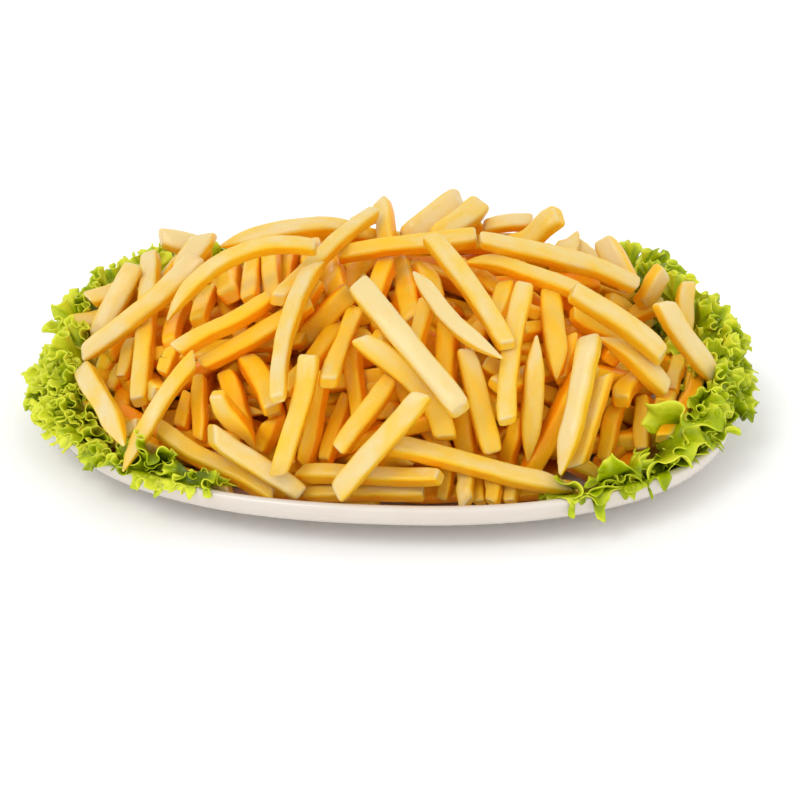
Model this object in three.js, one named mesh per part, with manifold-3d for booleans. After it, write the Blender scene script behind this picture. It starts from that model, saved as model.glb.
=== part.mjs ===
// French fries heaped on an oval serving platter, with frilly lettuce laid round both ends.
//
// Millimetres, +Z up. The origin is on the table, under the middle of the platter; +X runs
// along the platter's length and -Y is its front. The platter is one piece of porcelain with a
// foot ring. The heap is one solid out to its uneven outline: a full mound with sticks standing
// half out of it. Each lettuce leaf is one thick, waved solid that rises out of the platter and
// leans over the rim.

import * as THREE from "three";
import { mergeVertices } from "three/addons/utils/BufferGeometryUtils.js";
import Module from "manifold-3d";

// ---------------------------------------------------------------- driving dimensions

const PLATTER_LENGTH = 340;
const PLATTER_WIDTH = 240;
const PLATTER_HEIGHT = 26;
const OVAL_POWER = 2.3; // 2 is a true ellipse, more is squarer
const FOOT_INSET = 44; // from the rim in to the outside of the foot ring
const FLOOR_HEIGHT = 7.5; // of the eating surface above the table

const HEAP_LENGTH = 310;
const HEAP_WIDTH = 212;
const HEAP_RISE = 78; // of the mound above the rim
const MOUND_FLATNESS = 2.6; // more is flatter on top
const MOUND_STEEPNESS = 2; // more is steeper at the edge

const STICK_WIDTH = 9.5; // a 3/8 inch cut
const STICK_SHORTEST = 56;
const STICK_LONGEST = 88;
const STICK_COUNT = 60;
const STICK_PROUD = 3.6; // height of a stick's middle line above the mound
const STICK_TIP = 0.16; // slope at which the steepest sticks stand out of the mound

const LEAF_LEAN = 12; // of the leaf outside the rim
const LEAF_THICKNESS = 9; // over the small curls, which the solid takes in
const LEAF_WAVE = 4.5; // height of the large waves at the margin
const LEAF_WAVES = 4.5; // in one leaf
const LEAF_UNEVENNESS = 0.08; // of the margin's height
const LEAF_SPAN = THREE.MathUtils.degToRad(42); // round the oval

const GAP = 0.4; // between pieces that rest on each other

const PLATTER_STEPS = 44; // round the oval
const MOUND_STEPS = 28;

const wasm = await Module();
wasm.setup();

// ---------------------------------------------------------------- solids and meshes

function solidOf(geometry) {
  const bare = geometry.clone();
  bare.deleteAttribute("normal");
  bare.deleteAttribute("uv");
  const merged = mergeVertices(bare, 1e-4);
  return new wasm.Manifold(
    new wasm.Mesh({
      numProp: 3,
      vertProperties: merged.attributes.position.array,
      triVerts: new Uint32Array(merged.index.array),
    }),
  );
}

function geometryOf(solid) {
  const mesh = solid.getMesh();
  const geometry = new THREE.BufferGeometry();
  geometry.setAttribute("position", new THREE.BufferAttribute(mesh.vertProperties, 3));
  geometry.setIndex(new THREE.BufferAttribute(mesh.triVerts, 1));
  geometry.computeVertexNormals();
  return geometry;
}

function largestBody(solid) {
  return solid.decompose().reduce((a, b) => (b.volume() > a.volume() ? b : a));
}

function indexedSolid(points, triangles) {
  const geometry = new THREE.BufferGeometry();
  geometry.setAttribute("position", new THREE.Float32BufferAttribute(points, 3));
  geometry.setIndex(triangles);
  return solidOf(geometry);
}

// ---------------------------------------------------------------- oval forms

const signedPower = (value, power) => Math.sign(value) * Math.abs(value) ** power;

// The point of an oval with half sizes a and b at the parameter angle t.
function ovalPoint(a, b, t) {
  const power = 2 / OVAL_POWER;
  return [a * signedPower(Math.cos(t), power), b * signedPower(Math.sin(t), power)];
}

// How far out a point is on an oval with half sizes a and b: 0 in the middle, 1 on the oval.
function ovalShare(a, b, x, y) {
  return (Math.abs(x / a) ** OVAL_POWER + Math.abs(y / b) ** OVAL_POWER) ** (1 / OVAL_POWER);
}

// A closed solid from ovals stacked along a profile: [a, b, z] each, from the middle of the
// underside, out and up, and back in to the middle of the top.
function ovalSolid(rings, steps) {
  const points = [0, 0, rings[0][2]];
  for (const [a, b, z] of rings) {
    for (let j = 0; j < steps; j++) {
      points.push(...ovalPoint(a, b, (j / steps) * 2 * Math.PI), z);
    }
  }
  const top = points.length / 3;
  points.push(0, 0, rings.at(-1)[2]);
  const at = (i, j) => 1 + i * steps + (j % steps);
  const triangles = [];
  for (let j = 0; j < steps; j++) {
    triangles.push(0, at(0, j + 1), at(0, j));
    for (let i = 0; i + 1 < rings.length; i++) {
      triangles.push(at(i, j), at(i, j + 1), at(i + 1, j + 1));
      triangles.push(at(i, j), at(i + 1, j + 1), at(i + 1, j));
    }
    triangles.push(top, at(rings.length - 1, j), at(rings.length - 1, j + 1));
  }
  return indexedSolid(points, triangles);
}

// ---------------------------------------------------------------- platter

// Rings of the eating surface, from the lip in to the middle, as [inset from the rim, height].
const INNER_PROFILE = [
  [4.6, PLATTER_HEIGHT - 0.6],
  [6, PLATTER_HEIGHT - 4],
  [9, PLATTER_HEIGHT - 9],
  [15, PLATTER_HEIGHT - 13.5],
  [27, FLOOR_HEIGHT + 2],
  [44, FLOOR_HEIGHT],
];

// Rings of the outside, from inside the foot ring out to the rim and over the lip.
const OUTER_PROFILE = [
  [FOOT_INSET + 8, 2.2],
  [FOOT_INSET + 6, 0],
  [FOOT_INSET + 1, 0],
  [FOOT_INSET, 2.4],
  [26, 7],
  [12, 10.5],
  [6, 13.5],
  [2, 17.5],
  [0, PLATTER_HEIGHT - 2.2],
  [0.7, PLATTER_HEIGHT - 0.6],
  [2.4, PLATTER_HEIGHT],
];

function platterRings(profile) {
  const ring = ([inset, z]) => [PLATTER_LENGTH / 2 - inset, PLATTER_WIDTH / 2 - inset, z];
  return ovalSolid(profile.map(ring), PLATTER_STEPS);
}

// The platter and everything under it, grown by the gap, to cut what lies in it and hangs
// over its rim. Its skirt reaches past the rim, below where the leaves end.
function underPlatter() {
  const skirt = -30;
  const skirtTop = PLATTER_HEIGHT - 9;
  const underTable = -10;
  const outside = [
    [skirt, underTable],
    [skirt, skirtTop],
    [-GAP, skirtTop + 0.5],
    [-GAP, PLATTER_HEIGHT - 2.2],
    [0.3, PLATTER_HEIGHT - 0.3],
    [2.3, PLATTER_HEIGHT + GAP],
  ];
  const inside = INNER_PROFILE.map(([inset, z]) => [inset + GAP, z + GAP]);
  return platterRings([...outside, ...inside]);
}

// ---------------------------------------------------------------- heap of fries

function moundSolid(grow) {
  const risingSteps = 8;
  const rings = [];
  const addRing = (share, z) =>
    rings.push([(HEAP_LENGTH / 2) * share + grow, (HEAP_WIDTH / 2) * share + grow, z]);
  addRing(1, 0);
  for (let i = 0; i < risingSteps; i++) {
    const angle = (i / risingSteps) * (Math.PI / 2);
    const share = Math.cos(angle) ** (2 / MOUND_FLATNESS);
    const rise = HEAP_RISE * Math.sin(angle) ** (2 / MOUND_STEEPNESS);
    addRing(share, PLATTER_HEIGHT + rise + (i ? grow : 0));
  }
  addRing(0.04, PLATTER_HEIGHT + HEAP_RISE + grow);
  return ovalSolid(rings, MOUND_STEPS);
}

function moundPoint(x, y) {
  const share = Math.min(1, ovalShare(HEAP_LENGTH / 2, HEAP_WIDTH / 2, x, y));
  const rise = HEAP_RISE * (1 - share ** MOUND_FLATNESS) ** (1 / MOUND_STEEPNESS);
  return new THREE.Vector3(x, y, PLATTER_HEIGHT + rise);
}

function moundNormal(x, y) {
  const nudge = 1;
  const along = moundPoint(x + nudge, y).sub(moundPoint(x - nudge, y));
  const across = moundPoint(x, y + nudge).sub(moundPoint(x, y - nudge));
  return along.cross(across).normalize();
}

// Where the sticks lie: spread over the top and the sides of the mound, a little tipped, each
// turned its own way in the mound's surface, and more level the lower it lies. One that would
// reach out to the rim is left out.
function stickPlaces() {
  const goldenAngle = Math.PI * (3 - Math.sqrt(5));
  const lowest = 0.04;
  const places = [];
  for (let i = 0; i < STICK_COUNT; i++) {
    const height = 1 - (1 - lowest) * ((i + 0.5) / STICK_COUNT);
    const share = Math.sqrt(1 - height ** 2);
    const [x, y] = ovalPoint((HEAP_LENGTH / 2) * share, (HEAP_WIDTH / 2) * share, i * goldenAngle);
    const normal = moundNormal(x, y);
    const level = new THREE.Vector3(-normal.y, normal.x, 0).normalize();
    const turn = Math.PI * (0.3 + 0.7 * height) * (((i * Math.SQRT2) % 1) - 0.5);
    const tip = STICK_TIP * Math.sin(5 * i);
    places.push({
      middle: moundPoint(x, y).addScaledVector(normal, STICK_PROUD),
      normal,
      direction: level.applyAxisAngle(normal, turn).addScaledVector(normal, tip).normalize(),
      length: STICK_SHORTEST + (STICK_LONGEST - STICK_SHORTEST) * ((i * Math.E) % 1),
    });
  }
  const outermost = 9; // past the mound, which still lies inside the rim
  const deepest = 4; // below the rim
  const clear = ({ x, y, z }) =>
    ovalShare(HEAP_LENGTH / 2 + outermost, HEAP_WIDTH / 2 + outermost, x, y) < 1 &&
    z > PLATTER_HEIGHT - deepest;
  return places.filter(({ middle, direction, length }) =>
    [-0.5, 0.5].every((end) => clear(middle.clone().addScaledVector(direction, end * length))),
  );
}

function stickSolid({ middle, normal, direction, length }, grow) {
  const side = STICK_WIDTH + 2 * grow;
  const box = new THREE.BoxGeometry(length + 2 * grow, side, side);
  const across = normal.clone().cross(direction).normalize();
  const up = direction.clone().cross(across);
  box.applyMatrix4(new THREE.Matrix4().makeBasis(direction, across, up).setPosition(middle));
  return solidOf(box);
}

// The mound with its sticks. It still reaches down through the platter.
function heapSolid(grow) {
  const sticks = stickPlaces().map((place) => stickSolid(place, grow));
  return sticks.reduce((heap, stick) => heap.add(stick), moundSolid(grow));
}

// ---------------------------------------------------------------- lettuce leaves

// The middle line of a leaf's section, from the base between the heap and the wall, over the
// rim, to the margin: x is the way out from the rim and y the height over the rim.
function leafSection(rise) {
  return new THREE.CatmullRomCurve3([
    new THREE.Vector3(-10, -5, 0),
    new THREE.Vector3(-5, 4, 0),
    new THREE.Vector3(0.4 * LEAF_LEAN, 7, 0),
    new THREE.Vector3(LEAF_LEAN, 0.5 * rise, 0),
    new THREE.Vector3(0.85 * LEAF_LEAN, rise - LEAF_THICKNESS / 2, 0),
  ]);
}

// A leaf centred at one angle round the oval. Its two faces follow the section, and waves that
// grow towards the margin push both faces the same way, as they do in a curled leaf.
function leafSolid({ centre, rise, phase }) {
  const across = 18;
  const along = 4;
  const section = leafSection(rise);
  const pointAt = (u, v, face) => {
    const taper = Math.sqrt(1 - Math.abs(u) ** 4); // falls off at the leaf's two ends
    const reach = v * (0.55 + 0.45 * taper);
    const middle = section.getPoint(reach);
    const slope = section.getTangent(reach);
    const wave = LEAF_WAVE * v ** 1.5 * Math.sin(Math.PI * LEAF_WAVES * u + phase);
    const thickness = LEAF_THICKNESS * (0.35 + 0.65 * taper);
    const offset = wave * (0.6 + 0.4 * taper) + (face * thickness) / 2;
    const out = middle.x + slope.y * offset;
    const unevenness = 1 + LEAF_UNEVENNESS * Math.sin(7 * u + 2 * phase);
    const up = middle.y * unevenness - slope.x * offset;
    const angle = THREE.MathUtils.degToRad(centre) + (u * LEAF_SPAN) / 2;
    const [x, y] = ovalPoint(PLATTER_LENGTH / 2 + out, PLATTER_WIDTH / 2 + out, angle);
    return [x, y, PLATTER_HEIGHT + up];
  };
  const points = [];
  for (const face of [1, -1]) {
    for (let i = 0; i <= across; i++) {
      for (let j = 0; j <= along; j++) {
        points.push(...pointAt((2 * i) / across - 1, j / along, face));
      }
    }
  }
  const at = (face, i, j) => (face * (across + 1) + i) * (along + 1) + j;
  const triangles = [];
  const quad = (a, b, c, d) => triangles.push(a, b, c, a, c, d);
  for (let i = 0; i < across; i++) {
    for (let j = 0; j < along; j++) {
      quad(at(0, i, j), at(0, i + 1, j), at(0, i + 1, j + 1), at(0, i, j + 1));
      quad(at(1, i, j), at(1, i, j + 1), at(1, i + 1, j + 1), at(1, i + 1, j));
    }
    quad(at(1, i, 0), at(1, i + 1, 0), at(0, i + 1, 0), at(0, i, 0));
    quad(at(0, i, along), at(0, i + 1, along), at(1, i + 1, along), at(1, i, along));
  }
  for (let j = 0; j < along; j++) {
    quad(at(0, 0, j), at(0, 0, j + 1), at(1, 0, j + 1), at(1, 0, j));
    quad(at(1, across, j), at(1, across, j + 1), at(0, across, j + 1), at(0, across, j));
  }
  return indexedSolid(points, triangles);
}

// Each leaf's middle in degrees round the oval, and the height of its margin over the rim.
const LEAVES = [
  { name: "lettuce_right_front", centre: -43, rise: 28, phase: 0.4 },
  { name: "lettuce_right_end", centre: 0, rise: 36, phase: 1.9 },
  { name: "lettuce_right_back", centre: 43, rise: 38, phase: 3.1 },
  { name: "lettuce_left_back", centre: 137, rise: 38, phase: 4.6 },
  { name: "lettuce_left_end", centre: 180, rise: 36, phase: 1.2 },
  { name: "lettuce_left_front", centre: 223, rise: 26, phase: 5.5 },
];

// ---------------------------------------------------------------- the assembly

const glazedPorcelain = new THREE.MeshStandardMaterial({ color: 0xf1ece4, roughness: 0.18 });
const friedPotato = new THREE.MeshStandardMaterial({ color: 0xecbc4c, roughness: 0.45 });
const lettuceGreen = new THREE.MeshStandardMaterial({ color: 0x93b51f, roughness: 0.4 });

const portion = new THREE.Group();

function place(name, solid, material) {
  const mesh = new THREE.Mesh(geometryOf(solid), material);
  mesh.name = name;
  portion.add(mesh);
}

place("platter", platterRings([...OUTER_PROFILE, ...INNER_PROFILE]), glazedPorcelain);
place("fries_heap", largestBody(heapSolid(0).subtract(underPlatter())), friedPotato);
const keptClear = heapSolid(GAP).add(underPlatter());
for (const leaf of LEAVES) {
  place(leaf.name, largestBody(leafSolid(leaf).subtract(keptClear)), lettuceGreen);
}

export default portion;
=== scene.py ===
"""French fries heaped on an oval porcelain platter, with frilly lettuce laid round both ends."""

import math
from collections import namedtuple

import bpy
import numpy as np
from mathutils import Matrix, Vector


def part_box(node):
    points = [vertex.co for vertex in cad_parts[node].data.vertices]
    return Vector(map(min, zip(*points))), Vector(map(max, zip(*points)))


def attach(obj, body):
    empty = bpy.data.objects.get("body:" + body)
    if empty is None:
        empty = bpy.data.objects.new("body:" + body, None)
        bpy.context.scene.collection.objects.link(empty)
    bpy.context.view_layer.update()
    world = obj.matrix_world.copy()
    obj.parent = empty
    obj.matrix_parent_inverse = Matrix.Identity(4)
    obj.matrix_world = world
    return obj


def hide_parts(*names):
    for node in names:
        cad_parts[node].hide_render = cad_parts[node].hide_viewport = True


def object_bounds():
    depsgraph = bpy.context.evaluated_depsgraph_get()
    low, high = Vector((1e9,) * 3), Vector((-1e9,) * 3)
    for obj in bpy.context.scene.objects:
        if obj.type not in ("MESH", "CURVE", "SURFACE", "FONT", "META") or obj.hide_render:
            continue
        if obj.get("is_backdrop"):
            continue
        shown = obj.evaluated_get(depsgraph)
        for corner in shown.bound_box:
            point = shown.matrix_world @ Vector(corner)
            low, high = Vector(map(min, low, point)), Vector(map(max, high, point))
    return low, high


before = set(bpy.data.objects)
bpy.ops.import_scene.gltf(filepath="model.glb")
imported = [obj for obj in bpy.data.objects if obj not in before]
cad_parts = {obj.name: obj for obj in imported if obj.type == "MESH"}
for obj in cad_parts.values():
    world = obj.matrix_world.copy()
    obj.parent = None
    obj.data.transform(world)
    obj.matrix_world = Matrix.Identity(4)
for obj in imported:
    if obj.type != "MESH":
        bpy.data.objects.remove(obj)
CAD_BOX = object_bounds()

# ---------------------------------------------------------------- camera
# The view from the front and a little above, turned a few degrees to the right, through a long
# lens. The front plane faces the camera through the platter's middle: the heap is laid out on it.

MM = 0.001
ELEVATION = math.radians(28)
TURN = math.radians(4)
CAMERA_DISTANCE = 1400 * MM
MIDDLE = np.array([0, 0, 13]) * MM
AIM = np.array([4, 5]) * MM  # of the camera, across and up from the middle

RIGHT = np.array([math.cos(TURN), math.sin(TURN), 0])
AHEAD = np.array([-math.sin(TURN), math.cos(TURN), 0])  # level, away from the camera
UP = AHEAD * math.sin(ELEVATION) + np.array([0, 0, math.cos(ELEVATION)])
TOWARDS = -AHEAD * math.cos(ELEVATION) + np.array([0, 0, math.sin(ELEVATION)])  # the camera

camera = bpy.data.objects.new("camera", bpy.data.cameras.new("camera"))
camera.data.lens = 126
camera.data.sensor_width = 36
camera.location = MIDDLE + AIM[0] * RIGHT + AIM[1] * UP + CAMERA_DISTANCE * TOWARDS
camera.rotation_euler = (math.pi / 2 - ELEVATION, 0, TURN)
bpy.context.scene.collection.objects.link(camera)
bpy.context.scene.camera = camera
bpy.context.scene.view_settings.view_transform = "Standard"
CAMERA_PLACE = np.array(camera.location) / MM

# ---------------------------------------------------------------- platter
# A pressed oval serving platter of hard white porcelain with a foot ring, its rim fire-polished
# round. It was glazed all over and fired, so it is smooth, bright and faintly uneven in gloss.

LOW_CORNER, HIGH_CORNER = map(Vector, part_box("platter"))
RIM_LENGTH, RIM_WIDTH, RIM_HEIGHT = (HIGH_CORNER - LOW_CORNER) / MM
HALF_LENGTH, HALF_WIDTH = RIM_LENGTH / 2, RIM_WIDTH / 2
OVAL_POWER = 2.3  # 2 is a true ellipse, more is squarer
FOOT_INSET = 44  # from the rim in to the outside of the foot ring
FLOOR_HEIGHT = 7.5  # of the eating surface

# Rings round the platter, each [inset from the rim, height]: the eating surface from the lip in
# to the middle, and the outside from within the foot ring out to the rim and over the lip.
INNER_PROFILE = [
    (4.6, RIM_HEIGHT - 0.6),
    (6, RIM_HEIGHT - 4),
    (9, RIM_HEIGHT - 9),
    (15, RIM_HEIGHT - 13.5),
    (27, FLOOR_HEIGHT + 2),
    (44, FLOOR_HEIGHT),
    (80, FLOOR_HEIGHT),
]
OUTER_PROFILE = [
    (FOOT_INSET + 40, 2.2),
    (FOOT_INSET + 8, 2.2),
    (FOOT_INSET + 6, 0),
    (FOOT_INSET + 1, 0),
    (FOOT_INSET, 2.4),
    (26, 7),
    (12, 10.5),
    (6, 13.5),
    (2, 17.5),
    (0, RIM_HEIGHT - 2.2),
    (0.7, RIM_HEIGHT - 0.6),
    (2.4, RIM_HEIGHT),
]


def colour(hex_value):
    """The linear colour of an sRGB hex value."""
    channels = [int(hex_value[i : i + 2], 16) / 255 for i in (1, 3, 5)]
    linear = [c / 12.92 if c <= 0.04045 else ((c + 0.055) / 1.055) ** 2.4 for c in channels]
    return (*linear, 1.0)


def add_node(tree, kind, inputs=None, **settings):
    """Adds a node with its settings, and its inputs from values, nodes or nodes' outputs."""
    node = tree.nodes.new(kind)
    for name, value in settings.items():
        setattr(node, name, value)
    for key, value in (inputs or {}).items():
        if isinstance(value, bpy.types.Node):
            value = value.outputs[0]
        if isinstance(value, bpy.types.NodeSocket):
            tree.links.new(value, node.inputs[key])
        else:
            node.inputs[key].default_value = value
    return node


def new_material(name):
    """An empty material, and its node tree."""
    material = bpy.data.materials.new(name)
    material.use_nodes = True
    tree = material.node_tree
    tree.nodes.clear()
    return material, tree


def new_piece(name, points, faces, material):
    """A smooth-shaded mesh object at the origin, from points in millimetres."""
    mesh = bpy.data.meshes.new(name)
    mesh.from_pydata([tuple(p) for p in np.asarray(points) * MM], [], [tuple(f) for f in faces])
    mesh.materials.append(material)
    mesh.shade_smooth()
    piece = bpy.data.objects.new(name, mesh)
    bpy.context.scene.collection.objects.link(piece)
    return piece


def oval_point(a, b, angle):
    """The point of an oval with half sizes a and b at the parameter angle."""
    cosine, sine = np.cos(angle), np.sin(angle)
    power = 2 / OVAL_POWER
    return a * np.sign(cosine) * np.abs(cosine) ** power, b * np.sign(sine) * np.abs(sine) ** power


def oval_share(x, y, a, b):
    """How far out a point is on an oval: 0 in the middle, 1 on the oval."""
    return (np.abs(x / a) ** OVAL_POWER + np.abs(y / b) ** OVAL_POWER) ** (1 / OVAL_POWER)


def rounded(profile, rounds=3):
    """A profile with its corners cut off again and again, until it is smooth."""
    line = np.array(profile, float)
    for _ in range(rounds):
        quarter = 0.75 * line[:-1] + 0.25 * line[1:]
        three_quarters = 0.25 * line[:-1] + 0.75 * line[1:]
        middle = np.stack([quarter, three_quarters], 1).reshape(-1, 2)
        line = np.vstack([line[:1], middle, line[-1:]])
    return line


def faces_between(rings, steps):
    """The faces of a wall that joins closed rings of points, each to the next."""
    faces = []
    for i in range(rings - 1):
        for j in range(steps):
            k = (j + 1) % steps
            faces.append((i * steps + j, i * steps + k, (i + 1) * steps + k, (i + 1) * steps + j))
    return faces


def platter_mesh(steps=240):
    """The points and faces of the platter: ovals along the profile, closed over its two middles."""
    profile = rounded(OUTER_PROFILE + INNER_PROFILE)
    angles = np.linspace(0, 2 * math.pi, steps, endpoint=False)
    rings = []
    for inset, height in profile:
        x, y = oval_point(HALF_LENGTH - inset, HALF_WIDTH - inset, angles)
        rings.append(np.stack([x, y, np.full(steps, height)], 1))
    last = (len(profile) - 1) * steps
    middles = [tuple(range(steps - 1, -1, -1)), tuple(range(last, last + steps))]
    return np.vstack(rings), faces_between(len(profile), steps) + middles


PER_METRE = 1000  # mm; over a pattern's width, it gives the pattern's scale


def glazed_porcelain():
    """Hard white porcelain under a clear glaze: bright, warm white, with a sharp even shine."""
    material, tree = new_material("glazed_porcelain")
    where = add_node(tree, "ShaderNodeTexCoord").outputs["Object"]
    ripple_width = 22  # mm, of the faint waves left in the glaze
    pinhole_width = 1.5  # mm, drawn coarse so that the pinholes show
    ripple = {"Vector": where, "Scale": PER_METRE / ripple_width, "Detail": 1.0}
    ripple = add_node(tree, "ShaderNodeTexNoise", ripple)
    pinholes = {"Vector": where, "Scale": PER_METRE / pinhole_width, "Detail": 2.0}
    pinholes = add_node(tree, "ShaderNodeTexNoise", pinholes)
    tints = {0: ripple, 6: colour("#ddd4c9"), 7: colour("#d6cbbe")}
    tint = add_node(tree, "ShaderNodeMix", tints, data_type="RGBA")
    relief = (0.0, 0.0, 0.0)
    for height, strength, distance in ((ripple, 0.08, 1 * MM), (pinholes, 0.02, 0.2 * MM)):
        bump = {"Height": height, "Normal": relief, "Strength": strength, "Distance": distance}
        relief = add_node(tree, "ShaderNodeBump", bump)
    shader = add_node(
        tree,
        "ShaderNodeBsdfPrincipled",
        {
            "Base Color": tint.outputs[2],
            "Normal": relief,
            "Roughness": 0.16,
            "IOR": 1.5,
            "Coat Weight": 0.35,
            "Coat Roughness": 0.05,
        },
    )
    add_node(tree, "ShaderNodeOutputMaterial", {"Surface": shader})
    return material


platter = new_piece("platter_glazed", *platter_mesh(), glazed_porcelain())
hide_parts("platter")
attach(platter, "root")

# ---------------------------------------------------------------- fries: how they lie
# Potatoes cut about 9.5 mm square and fried in fresh oil. The outer ones are listed one by one, as
# they
# fell: each has its two ends on the front plane, the width that shows, how far it bows to its
# left, and how deep it lies, 0 on top. The rest are strewn over the heap and pushed apart.

Laid = namedtuple("Laid", "tail tip width bow layer tone roll pointed", defaults=(None, ""))
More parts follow.
